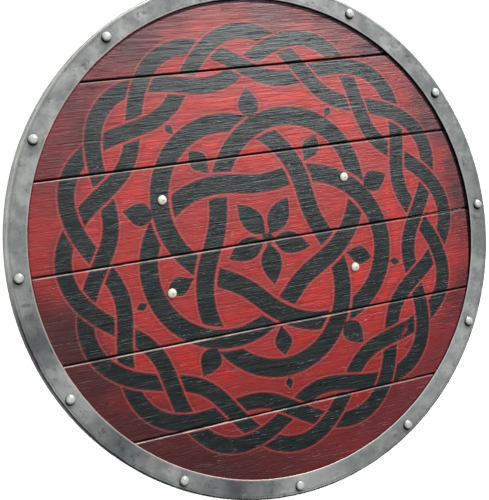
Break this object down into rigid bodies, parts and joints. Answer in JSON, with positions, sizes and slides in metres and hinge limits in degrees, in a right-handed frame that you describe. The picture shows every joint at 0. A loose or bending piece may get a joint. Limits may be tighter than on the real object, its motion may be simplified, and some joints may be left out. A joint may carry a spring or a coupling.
{
  "type": "round shield",
  "caption": "Flat round shield of chamfered wooden planks in a riveted steel channel rim, painted with an interlace, with a leather arm strap and hand grip behind.",
  "frame": {"origin": "under the centre of the rim, at the height of the surface that the strap loops lie on", "axes": "+Z out of the painted face, +X along the planks towards the hand grip, +Y across the planks towards plank_1"},
  "size_m": [0.61, 0.61, 0.0735],
  "materials": {
    "planks": "red stain and black paint on brushed grain, darkened towards the rim",
    "rim": "dull worn steel with cloudy darker patches",
    "rivets": "bright zinc",
    "bolts": "bright, slightly ivory",
    "strap_hardware": "plain zinc",
    "straps": "dark brown, waxed"
  },
  "bodies": {
    "root": {"plank_1": "planks", "plank_2": "planks", "plank_3": "planks", "plank_4": "planks", "plank_5": "planks", "plank_6": "planks", "rim": "rim", "rim_rivet_01": "rivets", "rim_rivet_02": "rivets", "rim_rivet_03": "rivets", "rim_rivet_04": "rivets", "rim_rivet_05": "rivets", "rim_rivet_06": "rivets", "rim_rivet_07": "rivets", "rim_rivet_08": "rivets", "rim_rivet_09": "rivets", "rim_rivet_10": "rivets", "rim_rivet_11": "rivets", "rim_rivet_12": "rivets", "strap_bolt_1": "bolts", "strap_washer_1": "strap_hardware", "strap_nut_1": "strap_hardware", "strap_bolt_2": "bolts", "strap_washer_2": "strap_hardware", "strap_nut_2": "strap_hardware", "strap_bolt_3": "bolts", "strap_washer_3": "strap_hardware", "strap_nut_3": "strap_hardware", "strap_bolt_4": "bolts", "strap_washer_4": "strap_hardware", "strap_nut_4": "strap_hardware", "arm_strap": "straps", "hand_grip": "straps"}
  },
  "joints": []
}
